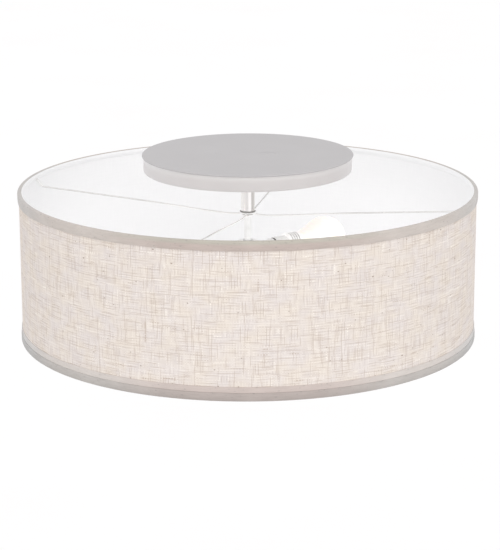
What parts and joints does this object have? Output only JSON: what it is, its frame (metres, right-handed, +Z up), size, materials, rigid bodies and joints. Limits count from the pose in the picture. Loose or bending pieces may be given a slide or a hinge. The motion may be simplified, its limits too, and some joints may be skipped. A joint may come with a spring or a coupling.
{
  "type": "drum shade ceiling light",
  "caption": "Semi-flush ceiling light: wide shallow linen drum shade with taped edges and white liner on a wire spider, stem and round canopy, with screw-in lamps.",
  "frame": {"origin": "centre of the canopy plate's top face, which lies against the ceiling", "axes": "+Z up out of the canopy's top face into the ceiling, along the stem and shade axis; +X to the right and +Y to the back of the light"},
  "size_m": [0.61, 0.61, 0.245],
  "materials": {
    "plate_grey": "satin grey paint",
    "canopy_satin": "satin nickel",
    "stem_nickel": "polished nickel",
    "washer_steel": "plain steel",
    "zinc_plate": "zinc plated",
    "spider_wire": "nickel-plated wire",
    "linen_cloth": "slubby linen weave, cream",
    "white_liner": "smooth white liner film",
    "edge_tape": "greige woven tape",
    "white_metal": "white enamel",
    "porcelain": "pale grey porcelain",
    "dark_fibre": "dark grey fibre",
    "screw_shell": "nickel-plated brass",
    "brass": "plain brass",
    "solder": "solder, dull",
    "black_glass": "black glass",
    "frosted_glass": "frosted white, lit",
    "earth_green": "green earth screw",
    "connector_nylon": "moulded nylon",
    "lead_black": "insulated lead",
    "lead_white": "insulated lead"
  },
  "bodies": {
    "fitting": {"canopy_plate": "plate_grey", "knockout_1": "plate_grey", "knockout_2": "plate_grey", "knockout_3": "plate_grey", "canopy_pan": "canopy_satin", "bracket": "zinc_plate", "rod": "zinc_plate", "rod_nut_top": "zinc_plate", "pan_nut": "zinc_plate", "cluster_nut": "zinc_plate", "cluster_nut_upper": "zinc_plate", "holder_nipple_1": "zinc_plate", "holder_nipple_2": "zinc_plate", "stem": "stem_nickel", "washer_upper": "washer_steel", "washer_lower": "washer_steel", "hub_nut": "washer_steel", "earth_screw": "earth_green", "cluster_body": "white_metal", "cluster_cap": "white_metal", "holder_cap_1": "white_metal", "holder_cap_2": "white_metal", "holder_body_1": "porcelain", "holder_body_2": "porcelain", "holder_ring_1": "dark_fibre", "holder_ring_2": "dark_fibre", "screw_shell_1": "screw_shell", "screw_shell_2": "screw_shell", "holder_contact_1": "brass", "holder_contact_2": "brass", "connector_live": "connector_nylon", "connector_neutral": "connector_nylon", "lead_live_1": "lead_black", "lead_live_2": "lead_black", "lead_neutral_1": "lead_white", "lead_neutral_2": "lead_white"},
    "shade": {"shade_cloth": "linen_cloth", "shade_liner": "white_liner", "liner_seam": "white_liner", "rim_lining_top": "white_liner", "rim_lining_bottom": "white_liner", "ring_top": "spider_wire", "ring_bottom": "spider_wire", "top_tape": "edge_tape", "bottom_tape": "edge_tape", "spider_hub": "spider_wire", "spider_arm_1": "spider_wire", "spider_arm_2": "spider_wire", "spider_arm_3": "spider_wire", "spider_arm_4": "spider_wire"},
    "lamp_1_slide": {"lamp_contact_1": "solder"},
    "lamp_1": {"lamp_base_1": "screw_shell", "lamp_insulator_1": "black_glass", "lamp_glass_1": "frosted_glass"},
    "lamp_2_slide": {"lamp_contact_2": "solder"},
    "lamp_2": {"lamp_base_2": "screw_shell", "lamp_insulator_2": "black_glass", "lamp_glass_2": "frosted_glass"}
  },
  "joints": [
    {"name": "shade_turn", "type": "hinge", "parent": "fitting", "child": "shade", "pos_m": [0, 0, -0.0795], "axis": [0, 0, 1], "continuous": true},
    {"name": "lamp_1_out", "type": "slide", "parent": "fitting", "child": "lamp_1_slide", "axis": [0.832, 0.5548, 0], "range_m": [0, 0.0182]},
    {"name": "lamp_1_turn", "type": "hinge", "parent": "lamp_1_slide", "child": "lamp_1", "pos_m": [0.06656, 0.04439, -0.131], "axis": [0.832, 0.5548, 0], "range_deg": [0, 1800]},
    {"name": "lamp_2_out", "type": "slide", "parent": "fitting", "child": "lamp_2_slide", "axis": [-0.832, -0.5548, 0], "range_m": [0, 0.0182]},
    {"name": "lamp_2_turn", "type": "hinge", "parent": "lamp_2_slide", "child": "lamp_2", "pos_m": [-0.06656, -0.04439, -0.131], "axis": [-0.832, -0.5548, 0], "range_deg": [0, 1800]}
  ],
  "couplings": [
    {"joint": "lamp_1_out", "follows": "lamp_1_turn", "m_per_rad": 0.00057757},
    {"joint": "lamp_2_out", "follows": "lamp_2_turn", "m_per_rad": 0.00057757}
  ]
}
